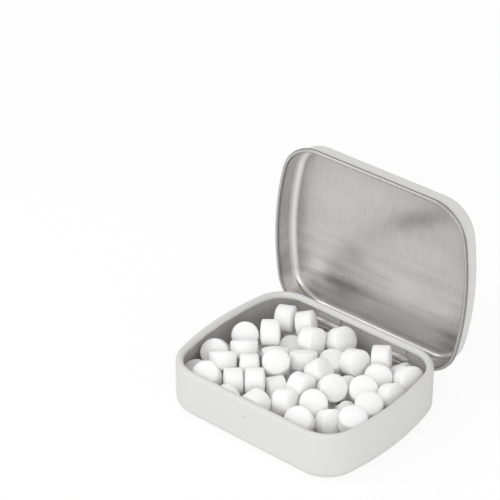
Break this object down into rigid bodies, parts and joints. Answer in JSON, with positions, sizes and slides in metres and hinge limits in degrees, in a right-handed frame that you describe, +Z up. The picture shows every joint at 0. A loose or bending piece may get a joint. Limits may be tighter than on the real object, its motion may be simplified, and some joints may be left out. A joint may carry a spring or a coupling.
{
  "type": "hinged mint tin",
  "caption": "Small rounded rectangular tin with a hinged lid standing open and a heap of pressed round mints in its base; the lid swings shut over the rolled rim.",
  "frame": {"origin": "centre of the base's flat underside", "axes": "+X along the tin's length, -Y to the front with the catch, +Y to the hinge, +Z up"},
  "size_m": [0.06, 0.0552, 0.0545],
  "materials": {
    "base_paint": "semi-gloss white paint outside, bare tinplate inside",
    "lid_paint": "semi-gloss white paint outside, bare brushed tinplate inside",
    "mint": "chalky pressed sugar"
  },
  "bodies": {
    "base": {"base_shell": "base_paint", "mint_01": "mint", "mint_02": "mint", "mint_03": "mint", "mint_04": "mint", "mint_05": "mint", "mint_06": "mint", "mint_07": "mint", "mint_08": "mint", "mint_09": "mint", "mint_10": "mint", "mint_11": "mint", "mint_12": "mint", "mint_13": "mint", "mint_14": "mint", "mint_15": "mint", "mint_16": "mint", "mint_17": "mint", "mint_18": "mint", "mint_19": "mint", "mint_20": "mint", "mint_21": "mint", "mint_22": "mint", "mint_23": "mint", "mint_24": "mint", "mint_25": "mint", "mint_26": "mint", "mint_27": "mint", "mint_28": "mint", "mint_29": "mint", "mint_30": "mint", "mint_31": "mint", "mint_32": "mint", "mint_33": "mint", "mint_34": "mint", "mint_35": "mint", "mint_36": "mint", "mint_37": "mint", "mint_38": "mint", "mint_39": "mint", "mint_40": "mint", "mint_41": "mint", "mint_42": "mint", "mints_bottom_layer": "mint"},
    "lid": {"lid_shell": "lid_paint"}
  },
  "joints": [
    {"name": "lid_hinge", "type": "hinge", "parent": "base", "child": "lid", "pos_m": [0, 0.0231, 0.0073], "axis": [1, 0, 0], "range_deg": [0, 93]}
  ]
}
